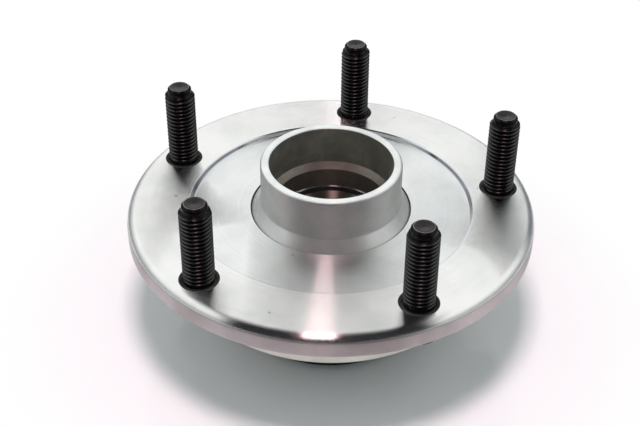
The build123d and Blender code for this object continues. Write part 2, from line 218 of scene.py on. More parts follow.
# %% [markdown]
# ## Turned steel
# The flange is forged steel faced on a lathe, and each turn of the tool leaves a groove 0.15 mm
# wide. The walls of the grooves lean to and fro along the radius, so every reflection is stretched
# into a ray from the centre, while it stays sharp round the axis. The grooves are too fine for a
# mesh or a bump, which would flicker, so the shading normal is leaned by exactly their slope. It is
# worked out from the place on the part: across the groove is square to the surface and to the way
# round the axis.

# %% Groove normals
TOOL_FEED = 0.15


def groove_normal(tree, slope, turn=TOOL_FEED):
    """Gives the path across the grooves, in metres, and a normal that leans by up to a slope."""
    spot = add(tree, "ShaderNodeNewGeometry")
    round_axis = add(tree, "ShaderNodeVectorMath", {0: spot.outputs["Position"], 1: (0, 0, 1)},
                     operation="CROSS_PRODUCT")
    radius = add(tree, "ShaderNodeVectorMath", {0: round_axis}, operation="LENGTH")
    along = add(tree, "ShaderNodeVectorMath", {0: round_axis}, operation="NORMALIZE")
    across = add(tree, "ShaderNodeVectorMath", {0: spot.outputs["Normal"], 1: along},
                 operation="CROSS_PRODUCT")
    place = add(tree, "ShaderNodeSeparateXYZ", {"Vector": spot.outputs["Position"]})
    path = add(tree, "ShaderNodeMath", {0: radius.outputs["Value"], 1: place.outputs["Z"]},
               operation="SUBTRACT")
    turns = add(tree, "ShaderNodeMath", {0: path, 1: turn * MM}, operation="DIVIDE")
    side = add(tree, "ShaderNodeMath", {0: turns, 1: 1.0}, operation="PINGPONG")
    lean = add(tree, "ShaderNodeMapRange", {"Value": side, "To Min": -slope, "To Max": slope})
    tilt = add(tree, "ShaderNodeVectorMath", {0: across, "Scale": lean}, operation="SCALE")
    leaning = add(tree, "ShaderNodeVectorMath", {0: spot.outputs["Normal"], 1: tilt},
                  operation="ADD")
    normal = add(tree, "ShaderNodeVectorMath", {0: leaning}, operation="NORMALIZE")
    return path, normal


# %% [markdown]
# The tool also leaves wider rings, about 1.3 mm apart, where its feed or the coolant changed; they
# come from noise along the same path. Slow noise stands for the faint stains of the cutting fluid,
# and a few of the cells of a coarse pattern carry a small dull speck, where a drop dried or a chip
# was pressed in.

# %% Marks on turned steel
STAIN_SIZE = 28
RING_SPACING = 1.3
SPECK_SPACING = 12
STAIN_START = 0.35


def tool_marks(tree, place, path):
    """Noise from 0 to 1: mostly slow stains, with a share of rings across the path."""
    stains = add(tree, "ShaderNodeTexNoise", {"Vector": place, "Scale": 1 / (STAIN_SIZE * MM),
                                              "Detail": 4.0, "Roughness": 0.55})
    rings = add(tree, "ShaderNodeTexNoise", {"W": path, "Scale": 1 / (RING_SPACING * MM),
                                             "Detail": 2.0}, noise_dimensions="1D")
    return add(tree, "ShaderNodeMix", {"Factor": 0.14, "A": stains, "B": rings})


def dull_specks(tree, place):
    """One where a speck is, and nought elsewhere."""
    cells = add(tree, "ShaderNodeTexVoronoi", {"Vector": place, "Scale": 1 / (SPECK_SPACING * MM)})
    dot = add(tree, "ShaderNodeMapRange", {"Value": cells, "From Min": 0.045, "From Max": 0.025})
    chance = add(tree, "ShaderNodeSeparateColor", {"Color": cells.outputs["Color"]})
    few = add(tree, "ShaderNodeMath", {0: chance.outputs["Red"], 1: 0.55}, operation="GREATER_THAN")
    return add(tree, "ShaderNodeMath", {0: dot, 1: few}, operation="MULTIPLY")


# %% [markdown]
# The metal itself is fully metallic and keeps the default IOR. Anisotropy stretches the highlight
# too, for the finest scratches, which are narrower than the drawn grooves. The slope of the grooves
# differs from face to face: steep on the two broad faces of the flange, and slight on the rim and
# the small step, which a wide tool left almost smooth.

# %% Turned steel
def turned_steel(name, light, dark, roughness, slope):
    finish, tree, shader, place = new_finish(name)
    path, normal = groove_normal(tree, slope)
    marks = tool_marks(tree, place, path)
    colours = add(tree, "ShaderNodeValToRGB", {"Fac": marks})
    ramp_stops(colours, [(STAIN_START, dark), (STAIN_START + 0.22, light)])
    specks = dull_specks(tree, place)
    marked = add(tree, "ShaderNodeMix", {"Factor": specks, 6: colours, 7: srgb("6d6862")},
                 data_type="RGBA")
    rough = add(tree, "ShaderNodeMapRange", {"Value": marks, "From Min": 0.3, "From Max": 0.7,
                                             "To Min": roughness * 1.15,
                                             "To Max": roughness * 0.88})
    around = add(tree, "ShaderNodeTangent", direction_type="RADIAL", axis="Z")
    feed(shader, {"Metallic": 1.0, "Anisotropic": 1.0, "Anisotropic Rotation": 0.25,
                  "Base Color": marked.outputs[2], "Roughness": rough, "Normal": normal,
                  "Tangent": around})
    return finish


FACED_STEEL = turned_steel("turned_steel_faced", "f6f7f4", "ebedeb", 0.18, 0.26)
RECESS_STEEL = turned_steel("turned_steel_recess", "eff2f1", "e3e6e5", 0.15, 0.31)
STEP_STEEL = turned_steel("turned_steel_step", "e6e8ea", "d6d9dc", 0.16, 0.04)
# This darker cut is painted shade for the chamfer and the splined bore under the well.
BORE_SHADE_STEEL = turned_steel("turned_steel_bore_painted_shade", "a89f99", "8b827c", 0.34, 0.12)
# Bright steel is plain turned steel, and on the ring round the well's floor it is a painted
# highlight.
BRIGHT_STEEL = turned_steel("turned_steel_bright", "d0c9c7", "bab1af", 0.2, 0.15)
RIM_STEEL = turned_steel("turned_steel_rim", "c3babb", "b4abab", 0.3, 0.1)
print("turned steel in six cuts")

# %% [markdown]
# ## Blasted and dipped steel
# The spigot's wall is left matt by shot blasting and a thin phosphate dip, which gives a fine grain
# with cloudy patches. Grit of this kind is about 0.3 mm, so it is drawn at 0.6 mm to show at all.
# The inside of the spigot is painted darker, as painted shade in the well and the bore. The same
# clouds over grit, in other shades and with less relief, serve the forged back of the flange and the
# outer ring's coats; they also give the painted shade in the countersinks, in the groove round the
# spigot's foot and on the well's floor, and a painted highlight on the edge at the end of each stud.

# %% Blasted steel
CLOUD_SIZE = 14


def blasted_steel(name, stops, roughness, metallic, grain=0.6, relief_depth=0.05):
    """Clouds of colour from ramp stops, over grit of a grain and a relief depth in mm."""
    finish, tree, shader, place = new_finish(name)
    clouds = add(tree, "ShaderNodeTexNoise", {"Vector": place, "Scale": 1 / (CLOUD_SIZE * MM),
                                              "Detail": 6.0, "Roughness": 0.62})
    colours = add(tree, "ShaderNodeValToRGB", {"Fac": clouds})
    ramp_stops(colours, stops)
    grit = add(tree, "ShaderNodeTexNoise", {"Vector": place, "Scale": 1 / (grain * MM),
                                            "Detail": 2.0})
    rough = add(tree, "ShaderNodeMapRange", {"Value": grit, "To Min": roughness - 0.08,
                                             "To Max": roughness + 0.1})
    relief = add(tree, "ShaderNodeBump", {"Height": grit, "Strength": 0.35,
                                          "Distance": relief_depth * MM})
    feed(shader, {"Metallic": metallic, "Base Color": colours, "Roughness": rough,
                  "Normal": relief})
    return finish


# %% Shades of blasted steel
SPIGOT_WALL = blasted_steel(
    "phosphated_spigot", [(0.36, "d2d6d3"), (0.5, "dbdedb"), (0.66, "e5e3df")], 0.54, 0.9)
FOOT_CONE = blasted_steel(
    "blasted_foot", [(0.36, "e1e6e2"), (0.5, "ebeeeb"), (0.66, "f2f3ef")], 0.42, 0.9, 0.6, 0.08)
SPIGOT_LIP = blasted_steel(
    "machined_spigot_lip", [(0.4, "dfe7e4"), (0.6, "eef6f3")], 0.36, 0.7, 0.5, 0.02)
# The well's wall and the bore above it are painted darker, as painted shade inside the spigot.
WELL_WALL_SHADE = blasted_steel(
    "well_wall_painted_shade", [(0.38, "827d75"), (0.52, "938c83"), (0.68, "a69d94")], 0.42, 0.8, 0.5)
BORE_WALL_SHADE = blasted_steel(
    "bore_wall_painted_shade", [(0.38, "8e9084"), (0.52, "9c9e92"), (0.68, "b2b4a8")], 0.45, 0.75, 0.5)
KNUCKLE_FACE = blasted_steel(
    "zinc_flake_flange", [(0.35, "d2d2c6"), (0.6, "dedfd4")], 0.42, 0.5, 0.5, 0.02)
FORGED_BACK = blasted_steel(
    "forged_back", [(0.35, "8c8b88"), (0.6, "a3a19d")], 0.45, 0.9)
# The countersink's dark grey is a painted reflection of the black stud and painted shade in the hole.
SINK_SHADE = blasted_steel(
    "countersink_painted_shade", [(0.35, "393b39"), (0.62, "4d4f4c")], 0.4, 0.3, 0.4, 0.03)
# A lighter band on the edge of each stud's end is a painted highlight.
STUD_EDGE_HIGHLIGHT = blasted_steel(
    "stud_edge_painted_highlight", [(0.4, "6a6866"), (0.6, "8d8a87")], 0.3, 0.8, 0.5, 0.02)
# Black phosphate is the outer ring's real coat; on the hub it is painted shade in the groove round
# the spigot's foot and on the well's floor.
BLACK_PHOSPHATE_AND_SHADE = blasted_steel(
    "black_phosphate_and_painted_shade", [(0.35, "0d0d0e"), (0.62, "1a1a1b")], 0.5, 0.3, 0.4, 0.03)
print("blasted steel in ten shades")

# %% [markdown]
# ## Black oxide
# Wheel studs are hot-dipped in caustic salts until the steel turns black, then oiled. The skin is
# only a micrometre thick, but it hides the metal, so it is drawn as a black surface that isn't
# metallic, with a low specular level for the film of oil. The oil collects unevenly, which soft
# noise in the roughness gives. Handling wears the crests of the thread until they shine, and the
# cut end is drawn a little lighter, browner and duller than the rest.

# %% Black oxide
OIL_PATCH = 3


def black_oxide(name, dark, light, rough_low, rough_high, sheen):
    finish, tree, shader, place = new_finish(name)
    oil = add(tree, "ShaderNodeTexNoise", {"Vector": place, "Scale": 1 / (OIL_PATCH * MM),
                                           "Detail": 3.0})
    colours = add(tree, "ShaderNodeValToRGB", {"Fac": oil})
    ramp_stops(colours, [(0.35, dark), (0.65, light)])
    rough = add(tree, "ShaderNodeMapRange", {"Value": oil, "To Min": rough_low,
                                             "To Max": rough_high})
    feed(shader, {"Specular IOR Level": sheen, "Base Color": colours, "Roughness": rough})
    return finish


BLACK_OXIDE = black_oxide("black_oxide_oiled", "050505", "0a0a0a", 0.22, 0.36, 0.16)
WORN_OXIDE = black_oxide("black_oxide_worn", "0b0b0b", "171615", 0.16, 0.26, 0.75)
CUT_OXIDE = black_oxide("black_oxide_cut_end", "121110", "1d1b19", 0.3, 0.42, 0.32)
print("black oxide whole, worn and cut")

# %% [markdown]
# ## The hub
# The hub is one forging: spigot, flange and hollow spindle. Its half section goes up the outside
# and back down through the bore, and is spun once. Small rounds on its corners matter more than
# they seem, because each one catches a thin line of light.

# %% Sizes of the hub
FOOT_TOP = 3.3
GROOVE_IN, GROOVE_OUT, GROOVE_FLOOR = 36.7, 37.2, -2.5
RECESS_FACE = -2.0
RECESS_EDGE = STUD_CIRCLE - 14.6
FLANGE_BACK = -10.7
ROOT_FACE = -16.0
SHOULDER = 33.0
RACE_TOP = -22.6
RACE_LOW = -29.2
TRACK = 28.06
SPINDLE = 24.5
SPLIT = bearing_high.z
INNER_END = bearing_low.z
COLLAR = 31.0
RELIEF = mounts["shaft_relief_bore"]["r_mm"]
SPLINE_MINOR = 15.2
WELL_FLOOR, WELL_LEDGE = -9.0, -8.5
FLOOR_EDGE = 25.2
BORE_FOOT = 3.7
print(f"recess {2 * RECESS_EDGE:.1f} mm across, spline {2 * SPLINE_MINOR:.1f} mm inside")

# %% Hub section
hub_steps = [
    (SPIGOT, SPIGOT_TOP, 1.2),
    (SPIGOT, FOOT_TOP, 0.82),
    (GROOVE_IN, GROOVE_FLOOR),
    (GROOVE_OUT, RECESS_FACE, 0.2),
    (RECESS_EDGE - 0.9, RECESS_FACE, 0.25),
    (RECESS_EDGE, 0.0, 0.55),
    (RIM, 0.0, 4.0),
    (RIM, FLANGE_BACK, 1.0),
    (61.5, FLANGE_BACK, 0.6),
    (49.5, ROOT_FACE, 0.5),
    (SHOULDER, ROOT_FACE, 1.6),
    (SHOULDER, RACE_TOP),
    (30.6, -23.6),
    (28.9, -25.6),
    (TRACK, RACE_LOW),
    (TRACK, SPLIT),
    (SPINDLE, SPLIT),
    (SPINDLE, INNER_END + 1.5),
    (SPINDLE + 1.5, INNER_END),
    (COLLAR, INNER_END, 0.3),
    (COLLAR, COLLAR_END, 2.0),
    (20.9, COLLAR_END, 0.4),
    (RELIEF, COLLAR_END + 3.4, 0.3),
    (RELIEF, COLLAR_END + 8.6, 0.3),
    (SPLINE_MINOR, COLLAR_END + 10.9),
    (SPLINE_MINOR, -15.7, 0.2),
    (21.9, WELL_FLOOR, 0.3),
    (FLOOR_EDGE, WELL_FLOOR),
    (WELL, WELL_LEDGE),
    (WELL, 0.8, 0.2),
    (BORE, BORE_FOOT, 0.2),
    (BORE, SPIGOT_TOP, 0.7),
]
hub = turned("hub_forging", hub_steps)

# %% [markdown]
# The bore carries an internal spline for the drive shaft. It is broached: a bar with thirty rows of
# teeth is drawn through. The same is done here with one tooth space, turned thirty times round the
# axis.

# %% Broach the spline
TEETH = 30
SPACE_MOUTH, SPACE_ROOT, SPACE_DEPTH = 1.64, 0.14, 1.3


def spline_broach():
    bm = bmesh.new()
    low, high = COLLAR_END + 1.0, WELL_FLOOR + 1.0
    inner, outer = SPLINE_MINOR - SPACE_DEPTH, SPLINE_MINOR + SPACE_DEPTH
    corners = [(inner, -SPACE_MOUTH), (outer, -SPACE_ROOT), (outer, SPACE_ROOT), (inner, SPACE_MOUTH)]
    face = bm.faces.new([bm.verts.new((x * MM, y * MM, low * MM)) for x, y in corners])
    grown = bmesh.ops.extrude_face_region(bm, geom=[face])
    tops = [item for item in grown["geom"] if isinstance(item, bmesh.types.BMVert)]
    bmesh.ops.translate(bm, verts=tops, vec=(0, 0, (high - low) * MM))
    one = bm.verts[:] + bm.edges[:] + bm.faces[:]
    bmesh.ops.spin(bm, geom=one, cent=(0, 0, 0), axis=(0, 0, 1), use_duplicate=True,
                   angle=2 * math.pi * (TEETH - 1) / TEETH, steps=TEETH - 1)
    bmesh.ops.recalc_face_normals(bm, faces=bm.faces[:])
    return finish_mesh(bm, "broach")


cut(hub, spline_broach())

# %% [markdown]
# Each stud is pressed into a hole with a countersink on the wheel's side. The five stud places come
# from the middles of the studs' own boxes, so the holes can't miss them.

# %% Drill the stud holes
STUDS = [f"wheel_stud_{number}" for number in range(1, 6)]
SINK = 8.9
HOLE = 7.61
stud_axes = {}
for stud in STUDS:
    low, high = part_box(stud)
    stud_axes[stud] = Vector(((low.x + high.x) / 2, (low.y + high.y) / 2, 0))


def stud_drill():
    bm = bmesh.new()
    outline(bm, [(0, FLANGE_BACK - 1), (HOLE, FLANGE_BACK - 1), (HOLE, HOLE - SINK), (SINK, 0),
                 (SINK, 1), (0, 1)], closed=False)
    spin_round(bm, 64)
    first = bm.verts[:] + bm.edges[:] + bm.faces[:]
    places = list(stud_axes.values())
    copies = [bmesh.ops.duplicate(bm, geom=first)["geom"] for _ in places[1:]]
    for geom, place in zip([first] + copies, places):
        verts = [item for item in geom if isinstance(item, bmesh.types.BMVert)]
        bmesh.ops.translate(bm, verts=verts, vec=place)
    bmesh.ops.recalc_face_normals(bm, faces=bm.faces[:])
    return finish_mesh(bm, "drill")


cut(hub, stud_drill())

# %% [markdown]
# One forging shows several finishes, and some bands carry painted shade or a painted highlight, so
# its faces are sorted by where they lie: each band of radius and height on the lathe gets its own
# slot. That keeps the hub one piece, as the real one is.

# %% Give each band its finish
LEVEL = 0.9


def lathe_place(face):
    """Radius and height of a face's middle in mm, and how level it is, from -1 to 1."""
    x, y, z = face.center / MM
    return math.hypot(x, y), z, face.normal.z


def paint_bands(piece, finishes, choose):
    """Gives the piece its finishes and each face the one that choose(face) returns."""
    piece.data.materials.clear()
    for finish in finishes:
        piece.data.materials.append(finish)
    for face in piece.data.polygons:
        face.material_index = finishes.index(choose(face))


# %% [markdown]
# The bands of the hub go from the inside out: the bore with the well and its ledge, the spigot with
# its foot and the groove round it, then the back, the rim and the two turned faces with the step
# between them. Each limit lies a tenth or so beyond the corner that ends the band, so that the
# rounds go with the right neighbour.

# %% Bands of the hub
# Depth in mm down to which the bore is painted darker, as painted shade.
SHADED_TO = -40.0


def bore_finish(radius, height, slope):
    """Finish of the faces from the well down through the splined bore."""
    # The well's floor is painted black, as painted shade and a painted reflection of the dark walls
    # above it.
    if height > WELL_FLOOR - 0.6 and slope > LEVEL:
        return BLACK_PHOSPHATE_AND_SHADE
    # The ring round the well's floor is given bright steel as a painted highlight.
    if height > WELL_FLOOR + 0.1 and radius > FLOOR_EDGE - 0.1:
        return BRIGHT_STEEL
    # Down to some 40 mm below the face the bore is painted darker, as painted shade; deeper it is
    # plain bright steel.
    return BORE_SHADE_STEEL if height > SHADED_TO else BRIGHT_STEEL


def spigot_finish(radius, height):
    """Finish of the faces of the spigot, inside and out, or None beyond its groove."""
    # The walls of the well and of the bore above it are painted darker, as painted shade.
    if radius < BORE - 0.05 and height < BORE_FOOT - 0.1:
        return WELL_WALL_SHADE
    # The narrow groove round the spigot's foot is painted black, as painted shade.
    over_groove = GROOVE_IN - 0.1 < radius < GROOVE_OUT + 0.1
    if over_groove and GROOVE_FLOOR - 0.1 < height < RECESS_FACE - 0.02:
        return BLACK_PHOSPHATE_AND_SHADE
    if radius < BORE + 0.1 and height > BORE_FOOT - 0.7:
        return BORE_WALL_SHADE
    if radius < SPIGOT - 0.5 and height > SPIGOT_TOP - 0.9:
        return SPIGOT_LIP
    if BORE + 1 < radius < GROOVE_IN + 0.1 and height > GROOVE_FLOOR - 0.1:
        return FOOT_CONE if height < FOOT_TOP - 0.4 else SPIGOT_WALL
    return None


def flange_finish(radius, height):
    """Finish of the back, the rim, and the turned faces."""
    if height < FLANGE_BACK - 0.05:
        return BRIGHT_STEEL if radius < SHOULDER + 1 else FORGED_BACK
    if radius > RIM - 0.3:
        return RIM_STEEL
    if RECESS_FACE + 0.02 < height < -0.004 and radius < RECESS_EDGE + 0.7:
        return STEP_STEEL
    return FACED_STEEL if radius > RECESS_EDGE - 0.5 else RECESS_STEEL


def hub_finish(face):
    radius, height, slope = lathe_place(face)
    from_stud = min((face.center.xy - axis.xy).length for axis in stud_axes.values()) / MM
    # The countersink is painted dark, a painted reflection of the black stud; the hole's wall below
    # it takes black oxide as painted shade.
    if from_stud < SINK + 0.02 and abs(slope) < LEVEL:
        return SINK_SHADE if height > HOLE - SINK else BLACK_OXIDE
    if radius < WELL + 0.2 and height < WELL_LEDGE + 0.2:
        return bore_finish(radius, height, slope)
    return spigot_finish(radius, height) or flange_finish(radius, height)


# %% Dress the hub
paint_bands(hub, [FACED_STEEL, RECESS_STEEL, STEP_STEEL, BORE_SHADE_STEEL, BRIGHT_STEEL, RIM_STEEL,
                  SPIGOT_WALL, FOOT_CONE, SPIGOT_LIP, WELL_WALL_SHADE, BORE_WALL_SHADE, FORGED_BACK,
                  BLACK_OXIDE, SINK_SHADE, BLACK_PHOSPHATE_AND_SHADE], hub_finish)
even_normals(hub)
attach(hub, "hub")
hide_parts("wheel_hub")
print("hub dressed in", len(hub.data.materials), "finishes")

# %% [markdown]
# ## The studs
# An M14 thread climbs 2 mm a turn. A thread could be faked with bump, but its crests show at the
# edge of each stud, so it is real: one pitch of the thread's outline is spun with a rise at every
# step, which makes a true helix. The ends are then pressed into a plain neck and a coned point, as
# rolling leaves them, and the rings of the point and the head are drawn out from the open ends one
# by one.

# %% Sizes of a stud
stud_low, stud_high = (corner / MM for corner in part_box(STUDS[0]))
STUD_HEAD = stud_low.z
STUD_END = stud_high.z
PITCH = 2.0
DEPTH = 0.6134 * PITCH
ROOT = THREAD - DEPTH
SLANT = math.tan(math.radians(30))
WORN = 0.3
NECK = 6.8
NECK_END = -0.4
SHANK = 7.6
SHANK_TOP = -2.09
HEAD = 9.7
THREAD_START = 1.4
LEAD = 0.2
DOG_ROOT = STUD_END - 2.9
DOG = 5.5
CONE = 1.3
STEPS_A_TURN = 48
print(f"stud {STUD_END - STUD_HEAD:.1f} mm long, thread {2 * THREAD:.1f} mm across")


# %% Outline of one pitch
def thread_pitch(bm):
    """One pitch of a metric thread: crest, flank, rounded root, flank."""
    half_crest = PITCH / 16
    rise = half_crest + DEPTH * SLANT
    points = [(THREAD, 0), (THREAD, half_crest * 0.7), (THREAD - 0.05, half_crest * 1.25),
              (THREAD - WORN, half_crest + WORN * SLANT), (ROOT + 0.08, rise - 0.06),
              (ROOT, rise + 0.05), (ROOT, PITCH - rise - 0.05), (ROOT + 0.08, PITCH - rise + 0.06),
              (THREAD - WORN, PITCH - half_crest - WORN * SLANT),
              (THREAD - 0.05, PITCH - half_crest * 1.25), (THREAD, PITCH - half_crest * 0.7),
              (THREAD, PITCH)]
    outline(bm, points, closed=False)


# %% [markdown]
# The helix has slanting ends, so two planes trim it square before the point and the shank are drawn
# out. Then each vertex is pulled in to the radius that rolling leaves at its height.

# %% Roll the thread
def rolled_thread():
    """A bmesh of the helix, trimmed square at both ends."""
    bm = bmesh.new()
    thread_pitch(bm)
    turns = math.ceil((DOG_ROOT - THREAD_START) / PITCH) + 2
    bmesh.ops.spin(bm, geom=bm.verts[:] + bm.edges[:], cent=(0, 0, 0), axis=(0, 0, 1),
                   dvec=(0, 0, PITCH * MM / STEPS_A_TURN), angle=2 * math.pi * turns,
                   steps=turns * STEPS_A_TURN)
    bmesh.ops.remove_doubles(bm, verts=bm.verts[:], dist=0.004 * MM)
    bmesh.ops.translate(bm, verts=bm.verts[:], vec=(0, 0, (THREAD_START - 1.6 * PITCH) * MM))
    for height, side in ((THREAD_START - LEAD, -1), (DOG_ROOT, 1)):
        geom = bm.verts[:] + bm.edges[:] + bm.faces[:]
        bmesh.ops.bisect_plane(bm, geom=geom, plane_co=(0, 0, height * MM),
                               plane_no=(0, 0, side), clear_outer=True)
    return bm


def rolled_radius(radius, height):
    """Radius after the thread runs out at the neck and is coned at the point."""
    runout = NECK - max(0, height - THREAD_START) * 0.55
    radius = max(radius, min(NECK, runout))
    lead_in = NECK + max(0, height - THREAD_START + LEAD)
    cone = THREAD - max(0, height - (DOG_ROOT - CONE)) * (THREAD - DOG) / CONE
    return min(radius, lead_in, max(cone, DOG))


def press_ends(bm):
    for vert in bm.verts:
        here = math.hypot(vert.co.x, vert.co.y)
        scale = rolled_radius(here / MM, vert.co.z / MM) * MM / here
        vert.co.x *= scale
        vert.co.y *= scale


# %% [markdown]
# Each open end is drawn out ring by ring and closed. The rings above make the rounded point, with a
# shallow dimple in its cut end. The rings below the neck make the shank, which is hidden in the
# flange and so needs no serrations, and the forged head.

# %% Draw out the ends
POINT_RINGS = [(DOG, STUD_END - 1.05), (DOG - 0.06, STUD_END - 0.95), (DOG - 0.94, STUD_END - 0.05),
               (DOG - 1.05, STUD_END), (DOG - 1.2, STUD_END), (3.35, STUD_END),
               (3.2, STUD_END - 0.05), (0.5, STUD_END - 0.33), (0.12, STUD_END - 0.5)]
HEAD_RINGS = [(NECK, NECK_END), (NECK, SHANK_TOP + 0.8), (SHANK, SHANK_TOP), (SHANK, FLANGE_BACK),
              (HEAD, FLANGE_BACK), (HEAD, STUD_HEAD + 0.7), (HEAD - 0.7, STUD_HEAD),
              (3.0, STUD_HEAD), (2.4, STUD_HEAD + 0.4)]


def next_ring(bm, rim, radius, height):
    """Draws an open circular rim out to a new radius and height and returns the new rim."""
    grown = bmesh.ops.extrude_edge_only(bm, edges=rim)["geom"]
    for vert in (item for item in grown if isinstance(item, bmesh.types.BMVert)):
        scale = radius * MM / math.hypot(vert.co.x, vert.co.y)
        vert.co = (vert.co.x * scale, vert.co.y * scale, height * MM)
    return [item for item in grown if isinstance(item, bmesh.types.BMEdge)]


def draw_out(bm, start, rings):
    """Draws the open end at one height out through some rings and closes the last one."""
    rim = [edge for edge in bm.edges if edge.is_boundary
           and all(abs(vert.co.z / MM - start) < 0.002 for vert in edge.verts)]
    for radius, height in rings:
        rim = next_ring(bm, rim, radius, height)
    bmesh.ops.edgeloop_fill(bm, edges=rim)


# %% [markdown]
# The finishes of a stud follow its use: worn crests, and a cut end with a painted highlight on the
# edge round it. The neck carries the same painted shade as the countersink it stands in.

# %% Make a stud
STUD_FINISHES = [BLACK_OXIDE, WORN_OXIDE, CUT_OXIDE, STUD_EDGE_HIGHLIGHT, SINK_SHADE]


def stud_finish(face):
    middle = face.calc_center_median() / MM
    radius = math.hypot(middle.x, middle.y)
    if middle.z > THREAD_START and radius > THREAD - WORN:
        return WORN_OXIDE
    # The edge of the end takes the painted highlight; the end inside it is the cut end.
    if middle.z > STUD_END - 0.6 and radius < DOG - 0.9:
        return STUD_EDGE_HIGHLIGHT if radius > DOG - 1.2 else CUT_OXIDE
    # The neck is painted with the countersink's shade.
    return SINK_SHADE if SHANK_TOP - 0.01 < middle.z < NECK_END else BLACK_OXIDE


def stud_mesh():
    bm = rolled_thread()
    press_ends(bm)
    draw_out(bm, DOG_ROOT, POINT_RINGS)
    draw_out(bm, THREAD_START - LEAD, HEAD_RINGS)
    bmesh.ops.recalc_face_normals(bm, faces=bm.faces[:])
    for face in bm.faces:
        face.material_index = STUD_FINISHES.index(stud_finish(face))
    return bm


# %% [markdown]
# The five studs are alike, but each was pressed in as it came, so their threads start at different
# angles. Turning each one by its own angle keeps them from looking like copies.

# %% Press in the five studs
START_ANGLE, ANGLE_STEP = 0.7, 1.9

pattern = stud_mesh()
for turn, stud in enumerate(STUDS):
    bm = pattern.copy()
    bmesh.ops.rotate(bm, verts=bm.verts[:], cent=(0, 0, 0),
                     matrix=Matrix.Rotation(ANGLE_STEP * turn + START_ANGLE, 3, "Z"))
    bmesh.ops.translate(bm, verts=bm.verts[:], vec=stud_axes[stud])
    piece = finish_mesh(bm, stud + "_threaded", sharp=40)
    for finish in STUD_FINISHES:
        piece.data.materials.append(finish)
    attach(piece, "hub")
    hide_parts(stud)
print("one stud has", len(piece.data.polygons), "faces")
pattern.free()

# %% [markdown]
# ## The outer ring
# The stationary ring bolts to the knuckle through its flange. Its flange keeps a pale zinc-flake
# coat and its spigot is black, so again the finish is sorted by height. The raceways inside are
# ground and honed.

# %% Sizes of the outer ring
RING_TOP = ring_high.z
RING_END = ring_low.z
KNUCKLE = -36.7
FLANGE_TOP = KNUCKLE + 12.0
OUTER_BODY = 46.2
SEAT = 41.3
RING_TRACK = 40.94
TRACK_SIDE, TRACK_LIP = 40.2, 38.4
RING_SHOULDER = 36.0
CORD_TOP, CORD_LOW, CORD_FLOOR = -39.1, -42.3, 43.45
print(f"ring {RING_TOP - RING_END:.1f} mm tall, flange {2 * ring_high.x:.1f} mm across")

# %% Outer ring
ring_steps = [
    (SEAT, RING_TOP, 0.3),
    (SEAT, RING_TOP - 3.5),
    (RING_TRACK, RING_TOP - 3.5),
    (RING_TRACK, -28.6),
    (TRACK_SIDE, -31.7),
    (TRACK_LIP, -33.9),
    (RING_SHOULDER, -35.0),
    (RING_SHOULDER, -44.0),
    (TRACK_LIP, -45.1),
    (TRACK_SIDE, -47.3),
    (RING_TRACK, -50.4),
    (RING_TRACK, RING_END + 3.4),
    (SEAT, RING_END + 3.4),
    (SEAT, RING_END, 0.3),
    (KNUCKLE_SPIGOT, RING_END, 1.5),
    (KNUCKLE_SPIGOT, CORD_LOW, 0.15),
    (CORD_FLOOR, CORD_LOW),
    (CORD_FLOOR, CORD_TOP),
    (KNUCKLE_SPIGOT, CORD_TOP, 0.15),
    (KNUCKLE_SPIGOT, KNUCKLE, 0.3),
    (ring_high.x, KNUCKLE, 1.2),
    (ring_high.x, FLANGE_TOP, 1.2),
    (OUTER_BODY, FLANGE_TOP, 2.5),
    (OUTER_BODY, RING_TOP, 0.4),
]
ring = turned("stationary_ring", ring_steps)

# %% [markdown]
# Four bolts hold the ring to the knuckle. One drill with a chamfer at each end is drawn, and a spin
# of three quarters of a turn with copies gives the other three.

# %% Drill the bolt holes
BOLT_HOLE = mounts["knuckle_bolts"]["hole_r_mm"]
BOLT_CIRCLE = mounts["knuckle_bolts"]["pcd_mm"] / 2


def bolt_drill():
    bm = bmesh.new()
    outline(bm, [(0, KNUCKLE - 1), (BOLT_HOLE + 1.6, KNUCKLE - 1), (BOLT_HOLE, KNUCKLE + 0.6),
                 (BOLT_HOLE, FLANGE_TOP - 0.6), (BOLT_HOLE + 1.6, FLANGE_TOP + 1),
                 (0, FLANGE_TOP + 1)], closed=False)
    spin_round(bm, 48)
    diagonal = BOLT_CIRCLE * MM / math.sqrt(2)
    bmesh.ops.translate(bm, verts=bm.verts[:], vec=(diagonal, diagonal, 0))
    one = bm.verts[:] + bm.edges[:] + bm.faces[:]
    bmesh.ops.spin(bm, geom=one, cent=(0, 0, 0), axis=(0, 0, 1), angle=math.pi * 1.5, steps=3,
                   use_duplicate=True)
    bmesh.ops.recalc_face_normals(bm, faces=bm.faces[:])
    return finish_mesh(bm, "bolt_drill")


cut(ring, bolt_drill())

# %% [markdown]
# Ground and polished steel has no lathe lines left to see, only a tight bright reflection with a
# trace of the stone's path round the axis. It serves the raceways, the inner ring and the balls.

# %% Ground steel
FILM_SIZE = 7
STONE_FEED = 0.05


def ground_steel():
    finish, tree, shader, place = new_finish("ground_bearing_steel")
    film = add(tree, "ShaderNodeTexNoise", {"Vector": place, "Scale": 1 / (FILM_SIZE * MM),
                                            "Detail": 3.0})
    colours = add(tree, "ShaderNodeValToRGB", {"Fac": film})
    ramp_stops(colours, [(0.3, "c4c4c6"), (0.7, "d4d3d3")])
    _, normal = groove_normal(tree, 0.02, STONE_FEED)
    rough = add(tree, "ShaderNodeMapRange", {"Value": film, "To Min": 0.12, "To Max": 0.18})
    feed(shader, {"Metallic": 1.0, "Base Color": colours, "Roughness": rough, "Normal": normal})
    return finish


GROUND_STEEL = ground_steel()
print(GROUND_STEEL.name, "made")


